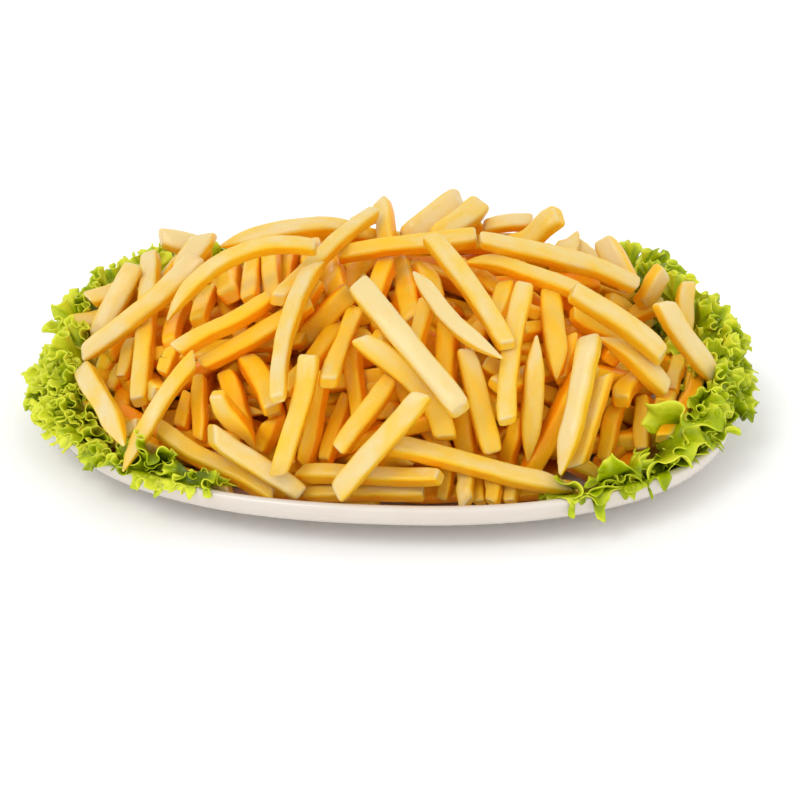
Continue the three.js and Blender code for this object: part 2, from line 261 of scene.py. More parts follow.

# Ends are millimetres across and up from the middle. Tone runs from -1, pale, to 1, golden: it is
# partly the fry's own colour and partly painted shade, golden for many fries that lie deep under
# others.
# Roll is in degrees, and turns the outer face to show more of one side. Some ends thin to a point.
LAID_FRIES = [
    # the left end
    Laid((-152, 29.5), (-97.5, 75.5), 13, -2.5, 0.7, -0.7, roll=-20),
    Laid((-129, 71.5), (-147.5, 35), 13, 0, 1.4, -0.3, roll=10),
    Laid((-120.5, 77), (-126.5, 4), 12.5, 1, 2, -0.6, roll=18),
    Laid((-151.5, 55), (-129, 61.5), 12.5, 0, 2.5, 0.1, roll=-30),
    Laid((-160, 43), (-139, 46.5), 12.5, 0, 2.5, 0.4, roll=-30),
    Laid((-154, 20), (-137, -15), 13, 1.5, 0.3, -0.2, roll=12, pointed="tip"),
    Laid((-140, -17), (-126, -7.5), 11, 0, 0.5, 0.3),
    Laid((-129, 36), (-135.5, 16), 9.5, 0, 3, -0.5),
    Laid((-135, 22), (-141, 8.5), 12, 0, 4, -0.2),
    # the upper left
    Laid((-116, 86), (-91, 80), 13, 0, 3, -1.2, roll=-20),
    Laid((-94, 87), (-106, 66), 14, 0, 2, -1.1, roll=15),
    Laid((-86, 84), (-19, 90), 12, 2.8, 1, -0.4, roll=-35, pointed="tail"),
    Laid((-113, 46.5), (-38, 81.5), 11.5, 12.5, 0, 0.15, roll=-34, pointed="tail"),
    Laid((-57, 55), (-9, 98.5), 10, 2, 0.9, -0.4, roll=-28),
    Laid((-107.5, 29.5), (-61, 55.5), 12, 0, 1, 0.3, roll=-35),
    Laid((-94.5, 22.5), (-40, 53.5), 12.5, 0, 0.5, -0.4, roll=-30),
    Laid((-57, 5.5), (-34.5, 77), 11.5, 5.5, 0, -0.5, roll=-20, pointed="tip"),
    Laid((-60.5, 86.5), (-58.5, 55), 11, 0, 2, -0.1),
    Laid((-68, 82.5), (-71, 55), 11, 0, 2, 0.1),
    Laid((-81.5, 74), (-81, 57), 14, 0, 3, 0.7),
    Laid((-91, 60), (-97, 44), 12, 0, 3, 0.2),
    Laid((-53, 83), (-52.5, 58), 12, 0, 4, 0.6),
    Laid((-105, 55), (-111, 32.5), 12, 0, 4, 0.6),
    Laid((-109, 31), (-114.5, 18), 11, 0, 3, 0.3),
    Laid((-20.5, 60), (-48, 33), 13, 0, 1.8, -0.2, roll=-15),
    Laid((-31, 76), (-27, 57), 13, 0, 3, 0.5),
    Laid((-37, 64), (-52, 40), 12, 0, 1, -0.2),
    # the lower left
    Laid((-98.5, 25), (-135, -29), 11, -2, 0.4, 0.2, roll=16, pointed="tip"),
    Laid((-116.5, -10), (-59.5, -43), 13, 0, 1, 0.3, roll=-32),
    Laid((-90.5, -12), (-45.5, -42), 12.5, 0, 0.5, -0.5, roll=-12),
    Laid((-87.5, 8.5), (-70, -21), 13, 0, 1, 0.1, roll=25, pointed="tip"),
    Laid((-96, 17), (-96.5, -15), 9.5, 0, 2, 0.1, roll=22),
    Laid((-73, 25), (-60, 0), 13, 2, 2, 0, roll=-20),
    Laid((-83, 19), (-73, -10), 12, 0, 3, 0.6),
    Laid((-101, 7.5), (-105.5, -9), 11, 0, 3, 0.4),
    Laid((-59, -4), (-66.5, -21), 13, 0, 2, 0.6),
    Laid((-41.5, 27.5), (-56, -31), 11.5, 1.5, 0, 0.7, roll=8),
    Laid((-34, 19), (-43.5, -27.5), 11, 0, 2, 0.5),
    Laid((-22.5, 6), (-33.5, -26), 11, 0, 3, 0.5),
    # the middle
    Laid((-18.5, 49), (-32, 13.5), 10.5, 0, 1.8, 0, roll=8),
    Laid((-19, 31), (-16.5, -5), 12, 0, 2, -0.1, roll=35),
    Laid((-26, -19.5), (-0.5, 15), 12, 0, 1.2, 0.2, roll=-18),
    Laid((-27, -42), (15.5, 7.5), 13, 0, 0, -0.2, roll=-15),
    Laid((-15, 34.5), (27, -14), 12.5, 6, 1, 0, roll=-6),
    Laid((-17, 63), (34.5, 0), 13.5, 0, 0, -0.9, roll=-6),
    Laid((-2, 74), (-13, 46), 13.5, 0, 2, -0.4, roll=30),
    Laid((4, 74), (10.5, 44), 12, 0, 3, 0, roll=12),
    Laid((10, 71), (54.5, 28), 10.5, -5, 0, -0.9, roll=-12, pointed="both"),
    Laid((19, 86), (57.5, 32), 12, 1.5, 0, 0.1, roll=-15),
    Laid((17.5, 54), (10.5, 30), 11.5, 0, 2, 0.1, roll=28),
    Laid((27.5, 47.5), (27.5, 5), 13, 0, 3, 0.5),
    Laid((36.5, 30), (50, -21), 12, 0, 1, -0.3, roll=-8),
    Laid((34, 5), (38, -22.5), 13, 0, 3, 0.5),
    # the top
    Laid((-27, 77), (42, 86.5), 12, 1.5, 1, 0, roll=-28),
    Laid((-5.5, 103), (-1, 80), 12, 0, 2, -0.3, roll=25),
    Laid((-20, 93), (-4, 98.5), 10, 0, 4, 0.2),
    Laid((-20, 87.5), (3, 84), 12, 0, 3.2, 0.4),
    Laid((6, 84), (34, 105.5), 15, 0, 2, -0.7, roll=-6),
    Laid((43, 101.5), (21, 84), 14, 0, 1.9, -0.4, roll=12),
    Laid((46, 91), (70, 94), 11, 0, 3, -0.2, roll=-30),
    Laid((84, 97.5), (58.5, 82), 15, 1.5, 2, 0.2, roll=28),
    Laid((92.5, 90.5), (83.5, 71), 13, 0, 2.6, -0.2, roll=10, pointed="tail"),
    Laid((30, 83.5), (60, 84), 12, 0, 3.5, 0.2),
    Laid((90, 82.5), (105, 72), 12, 0, 3, -0.1, roll=-25),
    Laid((44, 85), (122, 62), 13, 2, 0.8, -0.1, roll=-35),
    Laid((34.5, 76), (93, 59.5), 11.5, 2.5, 1, -0.1, roll=-40, pointed="tail"),
    Laid((58, 62), (50, 41), 13, 0, 2, 0),
    Laid((43, 67), (55, 59), 10, 0, 3, 0.4),
    Laid((41, 72), (44.5, 54), 11, 0, 3, 0.6),
    Laid((34.5, 74), (37.5, 62), 9, 0, 2, 0.3),
    # the front, at the rim
    Laid((-1.5, -17), (92.5, -38.5), 13, -1, 0.2, 0.1, roll=-32, pointed="tip"),
    Laid((-46, -31.5), (24, -33.5), 11.5, 0, 1, -0.1, roll=-38),
    Laid((-42, -42), (16, -41.5), 11, 0, 2, -0.1, roll=-40),
    Laid((35.5, -29), (38, -47), 10.5, 0, 1, 0),
    Laid((28.5, -26), (25, -45), 10, 0, 3, 0.6),
    Laid((51, -27.5), (49.5, -46.5), 10, 0, 3, 0.6),
    Laid((62, -31), (59, -46.5), 10, 0, 3, 0.2),
    Laid((43, -28), (44, -46.5), 10, 0, 3.5, 0.9),
    Laid((6, -42), (60, -42.5), 11, 0, 4.5, 1.5),
    Laid((56, -42), (94, -40.5), 11, 0, 4, 1),
    Laid((85, -23), (103, -35), 11, 0, 2.5, 0.3),
    Laid((-70, -40), (-36, -42.5), 11, 0, 4.5, 1.5),
    # the right
    Laid((66.5, 62), (57.5, -6), 11, -2.5, 0, 0.3, roll=10),
    Laid((72.5, 37), (68.5, -26), 12, 0, 1, -0.6, roll=-6, pointed="both"),
    Laid((79.5, 60), (82.5, 19), 10.5, 0, 1.6, 0.2, roll=0, pointed="tip"),
    Laid((90, 48), (118, 33), 13, 0, 2, 0.6, roll=-35),
    Laid((90, 59), (135.5, 26.5), 14, 2, 0, -0.2, roll=-26),
    Laid((106, 38), (137, 10), 14.5, 1.5, 1, -0.4, roll=-34, pointed="tail"),
    Laid((99, 36), (82.5, -31), 14, 2, 0, -0.5, roll=25, pointed="tip"),
    Laid((106.5, 17), (92.5, -28), 11.5, 0, 1, 0.3, roll=30),
    Laid((124, 22), (114.5, 4), 13, 0, 2, 0.5),
    Laid((125, 7), (125.5, -20), 11.5, 0, 2, 0.2),
    Laid((113, 2.5), (106, -25), 12, 0, 3, 0.3),
    Laid((62, -5), (58, -30), 12, 0, 3, 0.6),
    Laid((90, 36), (85, 15), 11, 0, 3, 0.6),
    # the right end
    Laid((107.5, 82.5), (119.5, 60), 15, 0, 2, -0.3, roll=20),
    Laid((135.5, 70), (124, 53), 13, 0, 2, -0.1, roll=-35),
    Laid((147.5, 63.5), (145.5, 38), 11, 0, 1.2, -0.3, roll=-12),
    Laid((135.5, 53.5), (165, 11.5), 13, -1.5, -1.3, -0.4, roll=-18, pointed="tip"),
    Laid((119, 45.5), (135.5, 52), 13, 0, 2, 0.4, roll=-40),
    Laid((108, 56), (130, 42), 11, 0, 2, 0.2, roll=-35),
    Laid((143.5, 25), (140, 9), 10, 0, 2, 0),
]

HEAP_LENGTH, HEAP_WIDTH = 162, 113  # half sizes of the heap at the rim, to the fries' outer faces
HEAP_RISE = 85  # from the rim to the heap's top
FLATNESS, STEEPNESS = 2.6, 2.0  # of the outline's curve: 2 and 2 are a true ellipsoid
FIRST_LAYER = 6  # depth of the top fries' middle lines below the outline
LAYER_STEP = 6.5


def outline_share(points, depth, lowered=0):
    """Under 1 inside the heap's outline, drawn in by depth and lowered on top, over 1 outside."""
    x, y, z = points[..., 0], points[..., 1], points[..., 2] - RIM_HEIGHT
    share = oval_share(x, y, HEAP_LENGTH - depth, HEAP_WIDTH - depth)
    rise = np.maximum(z, 0) / (HEAP_RISE - depth - lowered)
    return share**FLATNESS + rise**STEEPNESS


def outline_slope(points, depth, lowered=0):
    """How outline_share grows along x, y and z."""
    nudge = 0.5
    steps = np.eye(3) * nudge
    change = [
        outline_share(points + s, depth, lowered) - outline_share(points - s, depth, lowered)
        for s in steps
    ]
    return np.stack(change, -1) / (2 * nudge)


def outward(points):
    """The unit direction out of the heap at each point."""
    slope = outline_slope(points, FIRST_LAYER)
    slope[..., 2] = np.maximum(slope[..., 2], 1e-6)  # never down
    return slope / np.linalg.norm(slope, axis=-1, keepdims=True)


def inset_from_rim(points):
    """How far in from the platter's rim each point is, in mm."""
    x, y = points[..., 0], points[..., 1]
    share = np.maximum(oval_share(x, y, HALF_LENGTH, HALF_WIDTH), 1e-6)
    lengthwise = (np.abs(x / (HALF_LENGTH)) / share) ** OVAL_POWER
    reach = lengthwise * HALF_LENGTH + (1 - lengthwise) * HALF_WIDTH
    return (1 - share) * reach


def floor_height(points, beyond=RIM_HEIGHT + 40):
    """The height of the platter's inside under each point, and beyond for those outside its lip."""
    inset, height = np.array(INNER_PROFILE).T
    return np.interp(inset_from_rim(points), inset, height, left=beyond)


def unit(way):
    """A direction with a length of 1."""
    return way / np.linalg.norm(way)


def sight_line(across, up):
    """The start and direction of the line from the camera through a point of the front plane."""
    return CAMERA_PLACE, unit(MIDDLE / MM + across * RIGHT + up * UP - CAMERA_PLACE)


SIGHT_STEP = 0.5
HEAP_NEAR, HEAP_FAR = 1250, 1560  # mm from the camera, where a sight line can meet the heap
PLATTER_NEAR, PLATTER_FAR = 1200, 1600  # and where it can meet the platter


def depth_on_sight_line(across, up, depth):
    """How far off the sight line meets the outline drawn in by depth, or comes closest to it."""
    start, way = sight_line(across, up)
    reach = np.arange(HEAP_NEAR, HEAP_FAR, SIGHT_STEP)
    share = outline_share(start + reach[:, None] * way, depth)
    inside = np.nonzero(share < 1)[0]
    return reach[inside[0]] if len(inside) else reach[np.argmin(share)]


def depth_to_platter(across, up, clearance):
    """How far from the camera a sight line can go before it comes too near the platter."""
    start, way = sight_line(across, up)
    reach = np.arange(PLATTER_FAR, PLATTER_NEAR, -SIGHT_STEP)
    points = start + reach[:, None] * way
    return reach[np.argmax(points[:, 2] > floor_height(points, RIM_HEIGHT) + clearance)]


def bow_at(t):
    """How much of its full bow a fry has at a share t of its length."""
    return 4 * t * (1 - t)


SAMPLES = 9  # along a fry, where it is kept clear of others
SNUG = 0.84  # how near crossing fries lie, as a share of their mean width
LEVELLING = 0.5  # how much of the outline's swell under its middle a fry takes up
SETTLING_ROUNDS = 90
PULL, PULLED_FOR = 0.06, 0.8  # how strongly a fry is drawn to its own depth, and for how long
GIVES_WAY = 0.85  # how much of the room the deeper of two fries makes


def settle_laid_fries(fries):
    """The 3D ends and bow of the laid fries: each on its sight lines, the top ones nearest."""
    count = len(fries)
    ends = np.array([[f.tail, f.tip] for f in fries], float)
    width, layer, bow = np.array([[f.width, f.layer, f.bow] for f in fries]).T
    t = np.linspace(0, 1, SAMPLES)
    along = ends[:, 1] - ends[:, 0]
    length = np.linalg.norm(along, axis=1, keepdims=True)
    left = np.stack([-along[:, 1], along[:, 0]], 1) / length
    bulge = (bow[:, None] * bow_at(t))[..., None] * left[:, None]
    flat = ends[:, None, 0] + t[:, None] * along[:, None] + bulge
    aim = np.zeros((count, 2))
    for i, f in enumerate(fries):
        drawn_in = FIRST_LAYER + LAYER_STEP * f.layer
        at_ends = [depth_on_sight_line(*end, drawn_in) for end in (f.tail, f.tip)]
        at_middle = depth_on_sight_line(*flat[i, SAMPLES // 2], drawn_in)
        aim[i] = np.array(at_ends) + LEVELLING * (at_middle - sum(at_ends) / 2)
    pairs = []
    for i in range(count):
        for j in range(count):
            if (layer[i], i) >= (layer[j], j):
                continue
            apart = np.linalg.norm(flat[i][:, None] - flat[j][None], axis=-1)
            touching = 0.5 * SNUG * (width[i] + width[j])
            room = np.sqrt(np.maximum(touching**2 - apart**2, 0))
            clear = np.where(apart < touching, room, -np.inf)
            if clear.max() > 0:
                pairs.append((i, j, clear))
    deepest = [[depth_to_platter(*end, f.width / 2) for end in (f.tail, f.tip)] for f in fries]
    depth = np.minimum(aim, deepest)
    for turn in range(SETTLING_ROUNDS):
        depth += max(0, PULL * (1 - turn / (PULLED_FOR * SETTLING_ROUNDS))) * (aim - depth)
        for i, j, clear in pairs:
            near = depth[i, 0] + t * (depth[i, 1] - depth[i, 0])
            far = depth[j, 0] + t * (depth[j, 1] - depth[j, 0])
            lack = clear - (far[None] - near[:, None])
            p, q = np.unravel_index(np.argmax(lack), lack.shape)
            if lack[p, q] <= 0:
                continue
            for k, s, way in ((i, t[p], GIVES_WAY - 1), (j, t[q], GIVES_WAY)):
                share = np.array([1 - s, s])
                depth[k] += way * lack[p, q] * share / (share @ share)
        depth = np.minimum(depth, deepest)
    solid = np.zeros((count, 2, 3))
    for i, pair in enumerate(ends):
        for k, end in enumerate(pair):
            start, way = sight_line(*end)
            solid[i, k] = start + depth[i, k] * way
    return solid, [b * (side[0] * RIGHT + side[1] * UP) for b, side in zip(bow, left)]


MOST_ROLL, LEAST_ROLL = math.radians(32), math.radians(12)  # of a fry that states no roll
LAMP_WAY = np.array([-0.42, -0.62, 1.0])  # towards the main lamp


def square_to(axis, way):
    """The unit direction nearest to way that is square to the axis."""
    return unit(way - (way @ axis) * axis)


def turned(way, axis, angle):
    """A direction square to the axis, turned about it."""
    return way * math.cos(angle) + np.cross(axis, way) * math.sin(angle)


def outer_face(tail, tip, fry):
    """Where a laid fry's outer face looks, and the side of its square section."""
    axis = unit(tip - tail)
    to_camera = square_to(axis, TOWARDS)
    # The outer face is the one painted paler, as lit: unless a roll is given, it is turned towards
    # the main lamp.
    if fry.roll is None:
        lit = square_to(axis, LAMP_WAY)
        roll = math.atan2(np.cross(to_camera, lit) @ axis, to_camera @ lit)
        roll = math.copysign(min(max(abs(roll), LEAST_ROLL), MOST_ROLL), roll)
    else:
        roll = math.radians(fry.roll)
    shown = math.cos(roll) + abs(math.sin(roll))
    nearness = CAMERA_DISTANCE / MM / ((CAMERA_PLACE - (tail + tip) / 2) @ TOWARDS)
    return turned(to_camera, axis, roll), fry.width / nearness / shown


laid_ends, laid_bow = settle_laid_fries(LAID_FRIES)
laid_faces = [outer_face(*ends, fry) for ends, fry in zip(laid_ends, LAID_FRIES)]
laid_side = np.array([side for face, side in laid_faces])

FILL_LAYERS = [  # depth below the outline, how many, and whether only where the camera looks past
    (7, 110, True),
    (16, 140, False),
    (24, 90, False),
    (32, 90, False),
    (42, 70, False),
    (53, 60, False),
]
SIDE = 9.5
SHORTEST, LONGEST = 52, 88
LOOKED_PAST = -0.05  # how far a place faces the camera, under which it counts as unseen
TURN_ON_SIDES = 0.35  # of a quarter turn: the most that a fry leaves the level on a sheer side
TILT = 0.12  # the most that a fry rises from the outline, over its length

random = np.random.default_rng(7)


def strewn_fries():
    """The ends of the fries strewn over the heap, before they are pushed apart."""
    ends = []
    golden_angle = math.pi * (3 - math.sqrt(5))
    for depth, count, only_unseen in FILL_LAYERS:
        for i in range(count):
            height = 1 - (i + 0.5) / count
            share = math.sqrt(1 - height**2)
            angle = i * golden_angle + depth
            x, y = oval_point((HEAP_LENGTH - depth) * share, (HEAP_WIDTH - depth) * share, angle)
            rise = (HEAP_RISE - depth) * (1 - share**FLATNESS) ** (1 / STEEPNESS)
            middle = np.array([x, y, RIM_HEIGHT + rise])
            normal = outward(middle)
            if only_unseen and normal @ TOWARDS > LOOKED_PAST:
                continue
            level = np.array([-normal[1], normal[0], 0])
            level /= np.linalg.norm(level) + 1e-9
            most = TURN_ON_SIDES + (1 - TURN_ON_SIDES) * normal[2]
            way = turned(level, normal, random.uniform(-1, 1) * most * math.pi / 2)
            way = unit(way + normal * random.uniform(-TILT, TILT))
            half = random.uniform(SHORTEST, LONGEST) / 2
            ends.append([middle - half * way, middle + half * way])
    return np.array(ends)


def nearest(ones, others):
    """Where stretches, each with two ends, come closest: shares of each, and the two points."""
    a, c = ones[:, 0], others[:, 0]
    u, v, w = ones[:, 1] - a, others[:, 1] - c, a - c
    uu, vv, uv = (u * u).sum(-1), (v * v).sum(-1), (u * v).sum(-1)
    uw, vw = (u * w).sum(-1), (v * w).sum(-1)
    s = np.clip((uv * vw - uw * vv) / np.maximum(uu * vv - uv**2, 1e-6), 0, 1)
    t = np.clip((uv * s + vw) / vv, 0, 1)
    s = np.clip((uv * t - uw) / uu, 0, 1)
    return s, t, a + s[..., None] * u, c + t[..., None] * v


def to_both_ends(share):
    """How a push at a share of each fry's length is split between its two ends."""
    split = np.stack([1 - share, share], 1)
    return split / (split**2).sum(1, keepdims=True)


def seen_at(points):
    """Where points show on the front plane, across and up, and how far off they are."""
    off = points - CAMERA_PLACE
    distance = -(off @ TOWARDS)
    scale = CAMERA_DISTANCE / MM / distance
    flat = np.stack([off @ RIGHT * scale, off @ UP * scale, np.zeros_like(scale)], -1)
    return flat, distance


STREWN_SNUG = 0.96  # how near strewn fries' middle lines come to others', as a share of their side
STREWN_DEPTH, STREWN_LOWERED = 9, 4  # of the outermost ones' ends
MOST_BACK, MOST_IN, MOST_UP = 8, 6, 4  # mm, that one push moves a fry


def push_behind(loose, still, still_side):
    """Moves strewn fries away from the camera, from in front of the laid ones."""
    flat, far = seen_at(loose)
    still_flat, still_far = seen_at(still)
    first, second = np.divmod(np.arange(len(loose) * len(still)), len(still))
    s, t, p, q = nearest(flat[first], still_flat[second])
    apart = np.linalg.norm(p - q, axis=1)
    touching = STREWN_SNUG * (SIDE + still_side[second]) / 2
    here = far[first, 0] * (1 - s) + far[first, 1] * s
    there = still_far[second, 0] * (1 - t) + still_far[second, 1] * t
    clear = np.sqrt(np.maximum(touching**2 - apart**2, 0))
    lack = np.where(apart < touching, there + clear - here, 0)
    hit = lack > 0
    push = np.minimum(lack[hit], MOST_BACK)[:, None, None] * to_both_ends(s[hit])[..., None]
    move, weight = np.zeros_like(loose), np.zeros(len(loose))
    np.add.at(move, first[hit], push * -TOWARDS)
    np.add.at(weight, first[hit], 1)
    loose += 0.5 * move / np.maximum(weight, 1)[:, None, None]


def draw_in(points):
    """Moves points in to the heap's outline, and up off the platter."""
    slope = outline_slope(points, STREWN_DEPTH, STREWN_LOWERED)
    steep = np.maximum(np.linalg.norm(slope, axis=1), 1e-4)
    over = outline_share(points, STREWN_DEPTH, STREWN_LOWERED) - 1
    step = np.where(over > 0, over / steep, 0)
    points -= (np.minimum(step, MOST_IN) / steep)[:, None] * slope
    low = floor_height(points) + SIDE / 2 - points[:, 2]
    points[:, 2] += np.clip(low, 0, MOST_UP)


def push_apart(ends, still, still_side):
    """Moves the strewn fries until hardly any lie in each other or in the still ones."""
    rounds, rounds_between_looks, reach = 140, 8, 12  # reach is how far it looks for others, in mm
    damping, crowding = 0.9, 0.6  # crowding is how much pushes that come at once hold each other up
    count = len(ends)
    everything = np.concatenate([ends, still])
    side = np.concatenate([np.full(count, SIDE), still_side])
    length = np.linalg.norm(ends[:, 1] - ends[:, 0], axis=1)
    for turn in range(rounds):
        if turn % rounds_between_looks == 0:
            middle = everything.mean(1)
            half = np.linalg.norm(everything[:, 1] - everything[:, 0], axis=1) / 2
            first, second = np.triu_indices(len(everything), 1)
            apart = np.linalg.norm(middle[first] - middle[second], axis=1)
            keep = (apart < half[first] + half[second] + reach) & (first < count)
            first, second = first[keep], second[keep]
        s, t, p, q = nearest(everything[first], everything[second])
        apart = np.linalg.norm(p - q, axis=1)
        lack = STREWN_SNUG * (side[first] + side[second]) / 2 - apart
        hit = lack > 0
        way = (p - q)[hit] / np.maximum(apart[hit], 1e-3)[:, None]
        move, weight = np.zeros_like(everything), np.full(len(everything), 1e-9)
        part = np.where(second[hit] >= count, 1.0, 0.5) * lack[hit]
        for index, share, sign in ((first[hit], s[hit], 1), (second[hit], t[hit], -1)):
            push = (part * sign)[:, None, None] * to_both_ends(share)[..., None] * way[:, None]
            np.add.at(move, index, push)
            np.add.at(weight, index, 1)
        move /= np.maximum(weight, 1)[:, None, None] ** crowding
        everything[:count] += damping * move[:count]
        loose = everything[:count]
        push_behind(loose, still, still_side)
        draw_in(loose[:, 0])
        draw_in(loose[:, 1])
        now = loose[:, 1] - loose[:, 0]
        size = np.linalg.norm(now, axis=1)
        fix = (0.5 * (length - size) / size)[:, None] * now
        loose[:, 0] -= fix
        loose[:, 1] += fix
    return everything[:count]


def with_room(ends, still, still_side):
    """The strewn fries without those that are still stuck deep in another one."""
    kept = []
    deepest = 0.5  # of the two fries' mean side
    for pair in ends:
        others = np.concatenate([still, np.array(kept).reshape(-1, 2, 3)])
        side = np.concatenate([still_side, np.full(len(kept), SIDE)])
        p, q = nearest(pair[None], others)[2:]
        if np.all(np.linalg.norm(p - q, axis=1) > (1 - deepest) * (SIDE + side) / 2):
            kept.append(pair)
    return np.array(kept)


SKY_GAP, GAP_WIDTH = (4, 97), 13  # a gap on top, where only sky shows between two laid fries


def clear_of_gap(ends):
    """The fries that don't show in the gap on top."""
    gap = np.array([*(np.array(SKY_GAP) - AIM / MM), 0])
    near = nearest(seen_at(ends)[0] - gap, np.array([[(0, 0, 0), (1e-3, 1e-3, 1e-3)]]))[2]
    return ends[np.linalg.norm(near, axis=1) > (GAP_WIDTH + SIDE) / 2]


strewn = push_apart(strewn_fries(), laid_ends, laid_side)
strewn = clear_of_gap(with_room(strewn, laid_ends, laid_side))

# ---------------------------------------------------------------- fries: their shape
# Each fry is a square stick with soft edges, a little bowed and uneven, and cut off square or at
# a slant. Some were cut from the potato's round side and thin out to a point.

CORNER_RADIUS = 0.23  # of the section, as a share of its side
END_RINGS = [(0, 0.68), (0.5, 0.83), (1.6, 0.92), (7, 1.0)]  # mm from the end, share of the width
POINT_LENGTH, POINT_WIDTH = 20, 0.16  # mm over which a pointed end thins out, and to what share
SLANT_LENGTH = 9  # mm, over which a fry goes from its slanting end to square
END_LENGTH = 0.8  # mm, over which the colour goes from the cut end's to the sides'
SCORCH_LENGTH = 6
UNEVENNESS = 1.7  # mm, of the faces
LUMP_WIDTH = 50 / 3  # mm, of the rises and hollows in them


def fry_rings(length, spacing):
    """Places along a fry, 0 to 1, and the share of the full width there."""
    near = [(d / length, w) for d, w in END_RINGS]
    first = END_RINGS[-1][0] / length
    steps = max(2, round((1 - 2 * first) * length / spacing))
    middle = [(t, 1.0) for t in np.linspace(first, 1 - first, steps + 1)[1:-1]]
    return near + middle + [(1 - t, w) for t, w in reversed(near)]


Line = namedtuple("Line", "tail tip axis face bow side tone pointed")
lines = []
for (tail, tip), bow, (face, side), fry in zip(laid_ends, laid_bow, laid_faces, LAID_FRIES):
    axis = unit(tip - tail)
    bow = bow + random.normal(0, 0.8) * face
    lines.append(Line(tail, tip, axis, face, bow, side, fry.tone, fry.pointed))
for tail, tip in strewn:
    axis = unit(tip - tail)
    roll = random.normal(0, math.radians(18))
    face = turned(square_to(axis, outward((tail + tip) / 2)), axis, roll)
    side = SIDE * random.uniform(0.9, 1.08)
    pointed = random.choice(["", "", "", "", "tip"])
    bow = random.normal(0, 1.2, 3)
    lines.append(Line(tail, tip, axis, face, bow, side, random.uniform(-0.4, 0.8), pointed))


def painted_shade(point):
    """How deep a point lies in the heap, for painted shade: 0 on the outer fries' middle lines, 1
    where it is dark.
    """
    darkest, still_lit = 26, 0.15  # mm, and the share of it that is as bright as the outside
    slope = np.linalg.norm(outline_slope(point, FIRST_LAYER))
    depth = (1 - outline_share(point, FIRST_LAYER)) / max(slope, 1e-3)
    return min(max(depth / darkest - still_lit, 0), 1)


def fry_lines(fries, spacing):
    """The middle lines of some fries as points and edges, and what each of the points carries."""
    slopes = [0, 0, 0, 0.32, -0.32]  # of the cut ends
    points, edges, rows = [], [], []
    for number, fry in enumerate(fries):
        length = np.linalg.norm(fry.tip - fry.tail)
        face, across = fry.face, np.cross(fry.axis, fry.face)
        waver = random.normal(0, 0.55, 2)  # mm, into an S
        slants = [random.normal(0, 0.22, 2) + random.choice(slopes) for _ in range(2)]
        widths = 1 + random.normal(0, 0.06, 3)  # at the tail, the middle and the tip
        squeeze = math.sqrt(random.uniform(0, 0.2)) * face
        scorches = random.uniform(0, 1, 2) ** 14  # most ends are not scorched at all
        start = len(points)
        for t, share in fry_rings(length, spacing):
            end = 0 if t < 0.5 else 1
            from_end = (t if t < 0.5 else 1 - t) * length
            slant = max(0, 1 - from_end / SLANT_LENGTH) * slants[end]
            here = fry.tail + t * (fry.tip - fry.tail) + bow_at(t) * fry.bow
            here = here + math.sin(2 * math.pi * t) * (waver[0] * face + waver[1] * across)
            if fry.pointed in ("both", ("tail", "tip")[end]):
                full = math.sin(min(1, from_end / POINT_LENGTH) * math.pi / 2)
                thinned = min(1, POINT_WIDTH + (1 - POINT_WIDTH) * full)
                here = here - 0.5 * fry.side * (1 - thinned) * face
                share *= thinned
            points.append(here)
            rows.append(
                {
                    "half_side": 0.5 * fry.side * share * np.interp(t, [0, 0.5, 1], widths),
                    "face_way": face,
                    "axis": fry.axis,
                    "slant": slant[0] * face + slant[1] * across,
                    "squeeze": squeeze,
                    "run": t * length,
                    "seed": number,
                    "tone": fry.tone,
                    "painted_shade": painted_shade(here),
                    "end": max(0, 1 - from_end / END_LENGTH),
                    "scorch_and_painted_shade": scorches[end] * max(0, 1 - from_end / SCORCH_LENGTH),
                }
            )
        edges += [(i, i + 1) for i in range(start, len(points) - 1)]
    carried = {name: np.array([row[name] for row in rows], float) for name in rows[0]}
    return np.array(points), edges, carried


